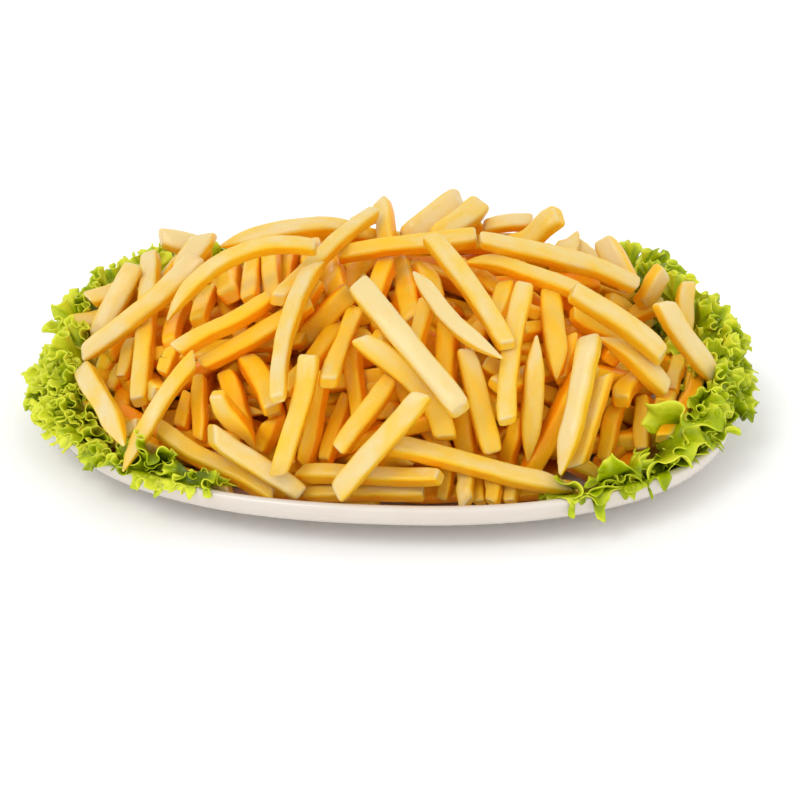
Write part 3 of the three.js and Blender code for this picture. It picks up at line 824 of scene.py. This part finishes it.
def fry_sweep(material):
    """A node tree that sweeps a soft square along each line, and shapes its faces and ends."""
    tree = bpy.data.node_groups.new("fry_sweep", "GeometryNodeTree")
    for name, kind in (
        ("Lines", "NodeSocketGeometry"),
        ("Corner radius", "NodeSocketFloat"),
        ("Corner points", "NodeSocketInt"),
        ("Unevenness", "NodeSocketFloat"),
        ("Lumps per metre", "NodeSocketFloat"),
    ):
        tree.interface.new_socket(name, in_out="INPUT", socket_type=kind)
    tree.interface.new_socket("Fries", in_out="OUTPUT", socket_type="NodeSocketGeometry")
    given = add_node(tree, "NodeGroupInput").outputs
    here = add_node(tree, "GeometryNodeInputPosition")
    told = {}
    for names, kind in (
        (("half_side", "run", "seed"), "FLOAT"),
        (("face_way", "axis", "slant", "squeeze", "centre"), "FLOAT_VECTOR"),
    ):
        for name in names:
            named = {"Name": name}
            told[name] = add_node(tree, "GeometryNodeInputNamedAttribute", named, data_type=kind)

    curves = add_node(tree, "GeometryNodeMeshToCurve", {"Mesh": given["Lines"]})
    centre = {"Geometry": curves, "Name": "centre", "Value": here}
    centred = add_node(tree, "GeometryNodeStoreNamedAttribute", centre, data_type="FLOAT_VECTOR")
    faced = {"Curve": centred, "Normal": told["face_way"]}
    faced = add_node(tree, "GeometryNodeSetCurveNormal", faced, mode="FREE")
    sides = {"Width": 2.0, "Height": 2.0}
    square = add_node(tree, "GeometryNodeCurvePrimitiveQuadrilateral", sides)
    corners = {"Curve": square, "Count": given["Corner points"], "Radius": given["Corner radius"]}
    section = add_node(tree, "GeometryNodeFilletCurve", corners, mode="POLY")
    sweep = {"Curve": faced, "Profile Curve": section, "Scale": told["half_side"]}
    shaped = add_node(tree, "GeometryNodeCurveToMesh", sweep | {"Fill Caps": True})

    out = add_node(tree, "ShaderNodeVectorMath", {0: here, 1: told["centre"]}, operation="SUBTRACT")
    across = {0: told["axis"], 1: told["face_way"]}
    told["across"] = add_node(tree, "ShaderNodeVectorMath", across, operation="CROSS_PRODUCT")
    off = {}  # how far a point stands off its middle line, along each of these
    for name in ("face_way", "across", "slant", "squeeze"):
        product = {0: out, 1: told[name]}
        product = add_node(tree, "ShaderNodeVectorMath", product, operation="DOT_PRODUCT")
        off[name] = product.outputs["Value"]
    lift, sideways = (
        add_node(tree, "ShaderNodeMath", {0: off[name], 1: told["half_side"]}, operation="DIVIDE")
        for name in ("face_way", "across")
    )
    own_place = 0.2  # m from one fry to the next in the colour's pattern
    row = {0: told["seed"], 1: own_place, 2: off["across"]}
    row = add_node(tree, "ShaderNodeMath", row, operation="MULTIPLY_ADD")
    grain = {"X": told["run"], "Y": row, "Z": off["face_way"]}
    grain = add_node(tree, "ShaderNodeCombineXYZ", grain)
    for name, value, kind in (
        ("lift", lift, "FLOAT"),
        ("sideways", sideways, "FLOAT"),
        ("grain", grain, "FLOAT_VECTOR"),
    ):
        kept = {"Geometry": shaped, "Name": name, "Value": value}
        shaped = add_node(tree, "GeometryNodeStoreNamedAttribute", kept, data_type=kind)

    flatter, slanted = (
        add_node(tree, "ShaderNodeVectorMath", {0: told[way], "Scale": off[by]}, operation="SCALE")
        for way, by in (("squeeze", "squeeze"), ("axis", "slant"))
    )
    cut = add_node(tree, "ShaderNodeVectorMath", {0: slanted, 1: flatter}, operation="SUBTRACT")
    lumps = add_node(
        tree,
        "ShaderNodeTexNoise",
        {"Vector": here, "W": told["seed"], "Scale": given["Lumps per metre"], "Detail": 3.0},
        noise_dimensions="4D",
    )
    swing = {0: lumps.outputs["Color"], 1: (0.5, 0.5, 0.5)}
    swing = add_node(tree, "ShaderNodeVectorMath", swing, operation="SUBTRACT")
    uneven = {0: swing, "Scale": given["Unevenness"]}
    uneven = add_node(tree, "ShaderNodeVectorMath", uneven, operation="SCALE")
    for offset in (cut, uneven):
        shaped = add_node(tree, "GeometryNodeSetPosition", {"Geometry": shaped, "Offset": offset})
    for kind in ("GeometryNodeSetShadeSmooth", "GeometryNodeRealizeInstances"):
        shaped = add_node(tree, kind, {"Geometry": shaped})
    fries = {"Geometry": shaped, "Material": material}
    add_node(tree, "NodeGroupOutput", {0: add_node(tree, "GeometryNodeSetMaterial", fries)})
    return tree


def fried_potato():
    """Potato fried pale gold: a thin dry crust over soft white flesh, with a film of oil."""
    material, tree = new_material("fried_potato")
    told = {}
    for name in ("tone", "painted_shade", "lift", "sideways", "end", "scorch_and_painted_shade", "grain"):
        told[name] = add_node(tree, "ShaderNodeAttribute", attribute_name=name).outputs["Fac"]
    grain = told["grain"].node.outputs["Vector"]
    mottle_width = 7  # mm, of the patches that took more colour
    blister_width = 2.2  # mm, of the crust's small blisters
    longer = (0.45, 1.0, 1.0)  # the patches run along the fry
    lengthwise = add_node(tree, "ShaderNodeMapping", {"Vector": grain, "Scale": longer})
    mottle = {"Vector": lengthwise, "Scale": PER_METRE / mottle_width, "Detail": 3.0}
    mottle = add_node(tree, "ShaderNodeTexNoise", mottle)
    blisters = {"Vector": grain, "Scale": PER_METRE / blister_width, "Detail": 2.0}
    blisters = add_node(tree, "ShaderNodeTexNoise", blisters)
    corners = told["sideways"]
    for operation, power in (("ABSOLUTE", 0.0), ("POWER", 3.0)):
        corners = add_node(tree, "ShaderNodeMath", {0: corners, 1: power}, operation=operation)
    # Painted light and shade: the outer face is painted paler, as lit, and the sides more golden,
    # as shaded.
    lift = {"Value": told["lift"], "From Min": 0.35, "From Max": 1.0}
    painted_face_shading = lift | {"To Min": 0.26, "To Max": -0.12}  # the outer face than the sides
    painted_face_shading = add_node(tree, "ShaderNodeMapRange", painted_face_shading, interpolation_type="SMOOTHSTEP")
    depth = 0.0  # of the colour, from pale to brown
    # The colour runs deeper with the fry's own tone and mottle, with painted shade deep in the
    # heap, and with painted light and shade on its faces.
    for part, share in (
        (told["tone"], 0.16),
        (mottle, 0.68),
        (told["painted_shade"], 0.36),
        (corners, 0.12),
        (painted_face_shading, 1.0),
        (told["end"], -0.2),
    ):
        adding = {0: part, 1: share, 2: depth}
        depth = add_node(tree, "ShaderNodeMath", adding, operation="MULTIPLY_ADD")
    ramp = add_node(tree, "ShaderNodeValToRGB", {"Fac": depth})
    stops = ramp.color_ramp.elements
    stops[0].position, stops[0].color = 0.1, colour("#e4cd92")
    stops[1].position, stops[1].color = 1.0, colour("#fc9c0a")
    for position, hex_value in ((0.36, "#e9c34e"), (0.62, "#f7c21e")):
        stops.new(position).color = colour(hex_value)
    # Scorched brown at some fries' ends, and painted shade all over the heart of the heap.
    scorch_and_painted_shade_mask = {0: told["scorch_and_painted_shade"], 1: mottle}
    scorch_and_painted_shade_mask = add_node(tree, "ShaderNodeMath", scorch_and_painted_shade_mask, operation="MULTIPLY")
    browning_and_painted_shade = {0: scorch_and_painted_shade_mask, 6: ramp, 7: colour("#9a5812")}
    browned_and_painted_shade = add_node(tree, "ShaderNodeMix", browning_and_painted_shade, data_type="RGBA")
    relief = (0.0, 0.0, 0.0)
    for height, distance in ((blisters, 0.5 * MM), (mottle, 1.2 * MM)):
        bump = {"Height": height, "Normal": relief, "Strength": 0.5, "Distance": distance}
        relief = add_node(tree, "ShaderNodeBump", bump)
    shader = add_node(
        tree,
        "ShaderNodeBsdfPrincipled",
        {
            "Base Color": browned_and_painted_shade.outputs[2],
            "Normal": relief,
            "Roughness": 0.4,
            "IOR": 1.45,
            "Specular IOR Level": 0.25,
            "Specular Tint": colour("#ffe08a"),
            "Subsurface Weight": 0.4,
            "Subsurface Radius": (1.0, 0.7, 0.25),
            "Subsurface Scale": 2.5 * MM,
            "Coat Weight": 0.28,
            "Coat Roughness": 0.13,
        },
    )
    add_node(tree, "ShaderNodeOutputMaterial", {"Surface": shader})
    return material


def carry(mesh, name, values):
    """Stores a number or a direction for each point of a mesh."""
    values = np.asarray(values, np.float32)
    kind, field = ("FLOAT", "value") if values.ndim == 1 else ("FLOAT_VECTOR", "vector")
    mesh.attributes.new(name, kind, "POINT").data.foreach_set(field, values.ravel())


def apply_tree(piece, tree, inputs):
    """Makes a piece the plain mesh that a node tree with the given inputs makes of it."""
    modifier = piece.modifiers.new(tree.name, "NODES")
    modifier.node_group = tree
    for socket in tree.interface.items_tree:
        if socket.name in inputs:
            modifier[socket.identifier] = inputs[socket.name]
    graph = bpy.context.evaluated_depsgraph_get()
    mesh = bpy.data.meshes.new_from_object(piece.evaluated_get(graph), depsgraph=graph)
    piece.modifiers.clear()
    piece.data = mesh


potato = fried_potato()
sweep_tree = fry_sweep(potato)
on_top = len(LAID_FRIES)
for name, some_lines, ring_spacing, corner_points in (
    ("fries_on_top", lines[:on_top], 3.5, 4),
    ("fries_beneath", lines[on_top:], 8, 3),
):
    points, edges, carried = fry_lines(some_lines, ring_spacing)
    line_mesh = bpy.data.meshes.new(name)
    line_mesh.from_pydata([tuple(p) for p in points * MM], edges, [])
    for key, values in carried.items():
        carry(line_mesh, key, values * MM if key in ("half_side", "run") else values)
    fries = bpy.data.objects.new(name, line_mesh)
    bpy.context.scene.collection.objects.link(fries)
    sizes = {
        "Corner radius": 2 * CORNER_RADIUS,
        "Corner points": corner_points,
        "Unevenness": UNEVENNESS * MM,
        "Lumps per metre": PER_METRE / LUMP_WIDTH,
    }
    apply_tree(fries, sweep_tree, sizes)
    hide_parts("fries_heap")
    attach(fries, "root")

CORE_DEPTH = 62  # of the heart below the heap's outline
CORE_FLOOR = FLOOR_HEIGHT + 5


def core_mesh(steps=96, rises=24):
    """The heart of the heap: the outline drawn in, with soft relief."""
    angles = np.linspace(0, 2 * math.pi, steps, endpoint=False)
    rings = []
    for i in range(rises):
        lift = i / rises * math.pi / 2
        share = math.cos(lift) ** (2 / FLATNESS)
        rise = (HEAP_RISE - CORE_DEPTH) * math.sin(lift) ** (2 / STEEPNESS)
        half_length, half_width = HEAP_LENGTH - CORE_DEPTH, HEAP_WIDTH - CORE_DEPTH
        x, y = oval_point(half_length * share, half_width * share, angles)
        rings.append(np.stack([x, y, np.full(steps, RIM_HEIGHT + rise)], 1))
    foot = rings[0] * [1, 1, 0] + [0, 0, CORE_FLOOR]
    points = np.vstack([foot, *rings])
    waves, strength = (0.31, 0.37, 0.4), 0.03  # radians each mm, and share of the heart's size
    relief = strength * np.prod(np.sin(points * waves + [1, 0, 0]), axis=1)
    points[:, :2] *= (1 + relief)[:, None]
    top, last = len(points), len(points) - steps
    points = np.vstack([points, [0, 0, RIM_HEIGHT + HEAP_RISE - CORE_DEPTH]])
    cap = [(last + j, last + (j + 1) % steps, top) for j in range(steps)]
    return points, [tuple(range(steps - 1, -1, -1)), *faces_between(rises + 1, steps), *cap]


core = new_piece("fries_core", *core_mesh(), potato)
# Painted shade: the heart is carried as fully deep and fully scorched, so that it is painted dark
# brown-orange like the shadow between fries.
for name in ("painted_shade", "scorch_and_painted_shade"):
    carry(core.data, name, np.ones(len(core.data.vertices)))
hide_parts("fries_heap")
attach(core, "root")

# ---------------------------------------------------------------- lettuce
# Green leaf lettuce, tucked between the heap and the platter's wall and leaning out over the rim.
# A lobe's margin grew longer than its middle, so it is gathered into waves, with smaller waves on
# the large ones. Each leaf here is a cluster of lobes, the low ones lying out over the rim.

# Along the leaves, by degrees round the oval: how far their lowest margins reach out over the rim,
# and how high their tallest margins stand above it, in mm.
LEAF_REACH = [
    (-66, 2), (-50, 0), (-35, -1), (-20, 0), (-8, 2), (0, 6), (20, 19), (35, 19), (48, 14),
    (66, 8), (114, 10), (135, 15), (160, 17), (170, 16), (180, 13), (197, 10), (207, 9),
    (216, 6), (236, 4),
]
LEAF_TOP = [
    (-66, 5), (-50, 7), (-35, 19), (-20, 27), (0, 31), (20, 41), (42, 43), (53, 37), (66, 34),
    (114, 34), (132, 36), (146, 42), (160, 38), (180, 27), (192, 17), (206, 4), (215, 2),
    (230, 8), (246, 4),
]
CLOSE_TIERS = [(0.0, 5), (0.25, 4), (0.5, 4), (0.75, 5), (1.0, 5)]  # share of the height, lobes
OPEN_TIERS = [(0.0, 4), (0.35, 4), (0.7, 4), (1.0, 4)]
FOOT = (-13, -9)  # of the lowest lobes, in mm out from the rim and up from it
SMALLEST_LOBE, LARGEST_LOBE = 11, 21
LOBE_STEPS = 190  # along the margin
LOBE_ROWS = 10  # from the foot to the margin
LOBE_SPREAD = 112  # degrees to each side of its middle
LEAF_THICKNESS = 0.45
LEAF_SPAN = 42  # degrees round the oval, that the feet of a leaf's lobes are spread over

Wave = namedtuple("Wave", "length height start power")
Lobe = namedtuple("Lobe", "degrees margin foot")  # margin and foot in mm, out from the rim and up
Leaf = namedtuple("Leaf", "node centre tiers curl fold teeth tone more")
# Curl scales the waves and fold their height. Teeth is how far the margin's points stand out, in
# mm, and tone is painted light and shade: how much brighter a whole leaf is painted, brighter at
# the left and back, darker at the right and front. More are lobes that stand by themselves.

RIGHT_FRONT_LOBES = [
    Lobe(-57.5, (7, -13), (-3, -2)),
    Lobe(-48, (-3, 15), (-9, 2)),
    Lobe(-24, (5, 9), (-9, 6)),
    Lobe(-14, (-13, 19), (-10, 3)),
    Lobe(-21.5, (-13, 20), (-10, 3)),
]
LEFT_FRONT_LOBES = [Lobe(241, (6, -10), (-8, 4)), Lobe(229.5, (-6, 20), (-11, 3))]
LEAVES = [
    Leaf("lettuce_right_front", -40, OPEN_TIERS, 1.8, 0.42, 5, -1.1, RIGHT_FRONT_LOBES),
    Leaf("lettuce_right_end", 0, CLOSE_TIERS, 0.95, 0.9, 2.8, -0.8, []),
    Leaf("lettuce_right_back", 43, CLOSE_TIERS, 0.85, 1.0, 1.6, -0.2, []),
    Leaf("lettuce_left_back", 137, CLOSE_TIERS, 0.85, 1.0, 1.6, 0.4, []),
    Leaf("lettuce_left_end", 180, CLOSE_TIERS, 0.95, 1.0, 1.8, 0.5, []),
    Leaf("lettuce_left_front", 223, OPEN_TIERS, 1.2, 0.7, 3.4, -0.3, LEFT_FRONT_LOBES),
]


def smooth_random(places, spacing, source):
    """A smooth random line through places, about one turn each spacing, between -1 and 1."""
    knots = np.arange(places.min() - 2 * spacing, places.max() + 3 * spacing, spacing)
    values = source.uniform(-1, 1, len(knots))
    where = (places - knots[0]) / spacing
    left = np.clip(where.astype(int), 0, len(knots) - 2)
    part = where - left
    part = part * part * (3 - 2 * part)
    return values[left] * (1 - part) + values[left + 1] * part


def surface_ways(grid):
    """The unit directions along the margin, towards the margin and out of a grid of points."""
    along, towards = np.gradient(grid, axis=(0, 1))
    ways = (along, towards, np.cross(along, towards))
    return [way / np.maximum(np.linalg.norm(way, axis=-1, keepdims=True), 1e-9) for way in ways]


def flat_lobe(radius, bend, source):
    """A lobe before it is gathered: points from its foot along +Y, with its upper side to +Z."""
    scallop, scallop_width = 0.16, 11  # of the outline: share of the radius, and mm
    stalk = 0.05  # of the radius, where the rows start
    angle = np.radians(np.linspace(-LOBE_SPREAD, LOBE_SPREAD, LOBE_STEPS))
    v = np.linspace(0, 1, LOBE_ROWS) ** 0.7  # closer together towards the margin
    reach = radius * (1 + scallop * smooth_random(angle * radius, scallop_width, source))
    r = (stalk + (1 - stalk) * v) * reach[:, None]
    x, y = r * np.sin(angle)[:, None], r * np.cos(angle)[:, None]
    arch = math.radians(bend)
    turn = arch * y / radius
    cup = 0.12 * x**2 / radius
    y, z = radius * np.sin(turn) / arch, cup - radius * (1 - np.cos(turn)) / arch
    return np.stack([x, y, z], -1), v


def gathered(grid, v, waves, teeth, source):
    """The grid with each order of waves grown on it, and how high each point stands on them."""
    height = np.zeros(grid.shape[:2])
    for wave in waves:
        margin_steps = np.linalg.norm(np.diff(grid[:, -1], axis=0), axis=1)
        run = np.concatenate([[0], np.cumsum(margin_steps)])
        drift = 1.8 * smooth_random(run, wave.length * 1.2, source)  # so that no two are alike
        phase = 2 * math.pi * run / wave.length + drift + source.uniform(0, 2 * math.pi)
        size = wave.height * (1 + 0.4 * smooth_random(run, wave.length * 1.7, source))
        growth = np.clip((v - wave.start) / (1 - wave.start), 0, 1) ** wave.power
        along, towards, normal = surface_ways(grid)
        grown = size[:, None] * growth
        swing = np.sin(phase)[:, None] * grown
        pinch = -0.38 * np.sin(2 * phase)[:, None] * grown  # steeper sides than a plain wave's
        curl = -0.25 * (1 - np.cos(2 * phase))[:, None] * grown * growth  # back from the margin
        for distance, way in ((swing, normal), (pinch, along), (curl, towards)):
            grid = grid + distance[..., None] * way
        height += swing / wave.height
    points = (1 - np.abs(np.sin(phase / 2 + 0.4))) ** 1.4 * teeth
    last_part = np.clip((v - 0.7) / 0.3, 0, 1)
    return grid + (points[:, None] * last_part)[..., None] * surface_ways(grid)[1], height


def placed(grid, angle, out, up, lean, yaw, twist):
    """The grid with its foot at an angle round the rim, leaning out, turned aside and twisted."""
    x, y = oval_point(HALF_LENGTH + out, HALF_WIDTH + out, angle)
    nudge = 0.01
    ahead = oval_point(HALF_LENGTH + out, HALF_WIDTH + out, angle + nudge)
    tangent = unit(np.array([ahead[0] - x, ahead[1] - y, 0]))
    outside = np.array([tangent[1], -tangent[0], 0])
    upright = np.array([0, 0, 1])
    foot_way = outside * math.sin(lean) + upright * math.cos(lean)
    upper = upright * math.sin(lean) - outside * math.cos(lean)
    aside = np.cross(foot_way, upper)
    foot_way, aside = turned(foot_way, upper, -yaw), turned(aside, upper, -yaw)
    upper, aside = turned(upper, foot_way, twist), turned(aside, foot_way, twist)
    foot = np.array([x, y, RIM_HEIGHT + up])
    return foot + grid[..., :1] * aside + grid[..., 1:2] * foot_way + grid[..., 2:] * upper


def keep_off_platter(grid, hang):
    """Lifts points off the platter's eating surface and rim, and stops them hanging far over it."""
    clearance = 0.7
    over_rim = [(-16, RIM_HEIGHT - hang - 4), (-5, RIM_HEIGHT - hang), (0.5, RIM_HEIGHT + 0.3)]
    insets, heights = np.array(over_rim + INNER_PROFILE).T
    low = np.interp(inset_from_rim(grid), insets, heights) + clearance
    grid[..., 2] = np.maximum(grid[..., 2], low)
    return grid


def grid_faces(rows, columns, start):
    """The faces between a grid's points, which are numbered from start on."""
    corners = [start + i * columns + j for i in range(rows - 1) for j in range(columns - 1)]
    return [(a, a + columns, a + columns + 1, a + 1) for a in corners]


def lobes_in_tiers(leaf, source):
    """The places of a leaf's lobes, tier above tier from the ones that lie out over the rim."""
    for raised, count in leaf.tiers:
        for k in range(count):
            along = (2 * k + 1) / count - 1 + source.uniform(-0.6, 0.6) / count
            degrees = leaf.centre + along * LEAF_SPAN / 2
            reach = np.interp(degrees, *np.array(LEAF_REACH).T)
            top = np.interp(degrees, *np.array(LEAF_TOP).T)
            margin = np.array([reach * (1 - raised) - 3 * raised, 1 + (top - 1) * raised])
            foot = np.array(FOOT) + [-3 * raised, 0.7 * top * raised]
            yield Lobe(degrees, margin, foot)


COARSE_WAVE = Wave(18, 4.4, 0.15, 1.5)  # on a lobe of a radius of 20 mm
FINE_WAVE = Wave(7.5, 1.9, 0.5, 1.3)


def leaf_lobes(leaf, source):
    """The grids of a leaf's lobes, with how high their points stand on the waves plus tone, for
    painted light on the crests, and their rows' places.
    """
    for lobe in [*lobes_in_tiers(leaf, source), *leaf.more]:
        free = 0.35 if lobe in leaf.more else 1  # of how far it may turn aside and twist
        way = np.subtract(lobe.margin, lobe.foot)
        radius = np.clip(np.linalg.norm(way), SMALLEST_LOBE, LARGEST_LOBE)
        foot = lobe.margin - radius * way / np.linalg.norm(way)
        radius *= source.uniform(0.7, 1.15)
        lean = math.atan2(way[0], way[1])
        grid, v = flat_lobe(radius, source.uniform(5, 60), source)
        curl = leaf.curl * radius / 20 * source.uniform(0.8, 1.6)
        waves = [
            Wave(wave.length * curl, wave.height * curl * leaf.fold, wave.start, wave.power)
            for wave in (COARSE_WAVE, FINE_WAVE)
        ]
        grid, height = gathered(grid, v, waves, leaf.teeth, source)
        grid = placed(
            grid,
            math.radians(lobe.degrees),
            *(foot + source.uniform(-1.5, 1.5, 2)),
            lean + math.radians(source.uniform(-16, 12)),
            math.radians(source.uniform(-40, 40) * free),
            math.radians(source.uniform(-30, 30) * free),
        )
        grid = keep_off_platter(grid, max(5, -lobe.margin[1]))
        yield grid, height + leaf.tone + source.uniform(-1.5, 1.5), v


def lettuce_leaf():
    """Thin, crisp, wet green leaf: light shines through it, and the thin margin is yellower."""
    material, tree = new_material("lettuce_leaf")
    where = add_node(tree, "ShaderNodeTexCoord").outputs["Object"]
    margin, painted_fold_light_and_tone = (
        add_node(tree, "ShaderNodeAttribute", attribute_name=name).outputs["Fac"]
        for name in ("margin", "painted_fold_light_and_tone")
    )
    patch_width = 14  # mm
    vein_width = 2.5  # mm, between the smallest veins
    patches = {"Vector": where, "Scale": PER_METRE / patch_width, "Detail": 3.0}
    patches = add_node(tree, "ShaderNodeTexNoise", patches)
    cells = {"Vector": where, "Scale": PER_METRE / vein_width}
    cells = add_node(tree, "ShaderNodeTexVoronoi", cells)
    edge = add_node(tree, "ShaderNodeMath", {0: margin, 1: 2.0}, operation="POWER")
    bright = patches
    # Painted light and shade: the wave crests, and leaves set brighter by their tone, are painted
    # brighter and the hollows darker.
    for part, share in ((edge, 0.5), (painted_fold_light_and_tone, 0.12)):
        adding = {0: part, 1: share, 2: bright}
        bright = add_node(tree, "ShaderNodeMath", adding, operation="MULTIPLY_ADD")
    ramp = add_node(tree, "ShaderNodeValToRGB", {"Fac": bright})
    stops = ramp.color_ramp.elements
    stops[0].position, stops[0].color = 0.35, colour("#5c6a04")
    stops[1].position, stops[1].color = 1.0, colour("#dde23c")
    stops.new(0.7).color = colour("#a8b804")
    puckers = {"Height": cells, "Strength": 0.35, "Distance": 0.4 * MM}
    shader = add_node(
        tree,
        "ShaderNodeBsdfPrincipled",
        {
            "Base Color": ramp,
            "Normal": add_node(tree, "ShaderNodeBump", puckers),
            "Roughness": 0.38,
            "IOR": 1.4,
            "Specular IOR Level": 0.18,
            "Subsurface Weight": 0.25,
            "Subsurface Radius": (0.7, 1.0, 0.1),
            "Subsurface Scale": 1.5 * MM,
            "Coat Weight": 0.2,
            "Coat Roughness": 0.06,
        },
    )
    add_node(tree, "ShaderNodeOutputMaterial", {"Surface": shader})
    return material


leaf_green = lettuce_leaf()
for number, leaf in enumerate(LEAVES):
    source = np.random.default_rng(100 + number)
    grids, heights, rows = zip(*leaf_lobes(leaf, source))
    faces = []
    for i in range(len(grids)):
        faces += grid_faces(LOBE_STEPS, LOBE_ROWS, i * LOBE_STEPS * LOBE_ROWS)
    name = leaf.node.replace("lettuce", "leaf")
    piece = new_piece(name, np.reshape(grids, (-1, 3)), faces, leaf_green)
    carry(piece.data, "margin", np.ravel([np.tile(v, LOBE_STEPS) for v in rows]))
    # The height on the waves, with the tone, is carried for painted light and shade on the crests.
    carry(piece.data, "painted_fold_light_and_tone", np.ravel(heights))
    thick = piece.modifiers.new("thickness", "SOLIDIFY")
    thick.thickness = LEAF_THICKNESS * MM
    thick.offset = 0
    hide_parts(leaf.node)
    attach(piece, "root")

# ---------------------------------------------------------------- floor and light
# A plain white table, a large soft lamp from the upper left and a pale room all round.

HALF_FLOOR = 6000
FLOOR_DROP = 0.2  # below the platter's foot


def white_table():
    """A plain matt white table top: it gives soft shade under the platter, and no shine."""
    material, tree = new_material("white_table")
    matt = {"Base Color": colour("#ffffff"), "Roughness": 0.9}
    shader = add_node(tree, "ShaderNodeBsdfPrincipled", matt)
    add_node(tree, "ShaderNodeOutputMaterial", {"Surface": shader})
    return material


corners = HALF_FLOOR * np.array([(-1, -1, 0), (1, -1, 0), (1, 1, 0), (-1, 1, 0)])
floor = new_piece("floor", corners - [0, 0, FLOOR_DROP], [(0, 1, 2, 3)], white_table())
floor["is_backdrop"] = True

LAMPS = [  # name, where it shines from, how wide it looks in degrees, and its strength
    ("lamp_upper_left", LAMP_WAY, 24, 0.75),
    ("lamp_front", (0.3, -1.0, 0.35), 60, 0.25),
]
for name, place, width, strength in LAMPS:
    lamp = bpy.data.objects.new(name, bpy.data.lights.new(name, "SUN"))
    lamp.data.angle = math.radians(width)
    lamp.data.energy = strength
    lamp.rotation_euler = Vector(place).to_track_quat("Z", "Y").to_euler()
    bpy.context.scene.collection.objects.link(lamp)

world = bpy.data.worlds.new("room")
world.use_nodes = True
background = world.node_tree.nodes["Background"].inputs
background["Color"].default_value = colour("#ffffff")
background["Strength"].default_value = 0.95
bpy.context.scene.world = world

# ---------------------------------------------------------------- sizes

boxes = {"cad_box": CAD_BOX, "visual_box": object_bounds()}
{name: [list(corner) for corner in box] for name, box in boxes.items()}
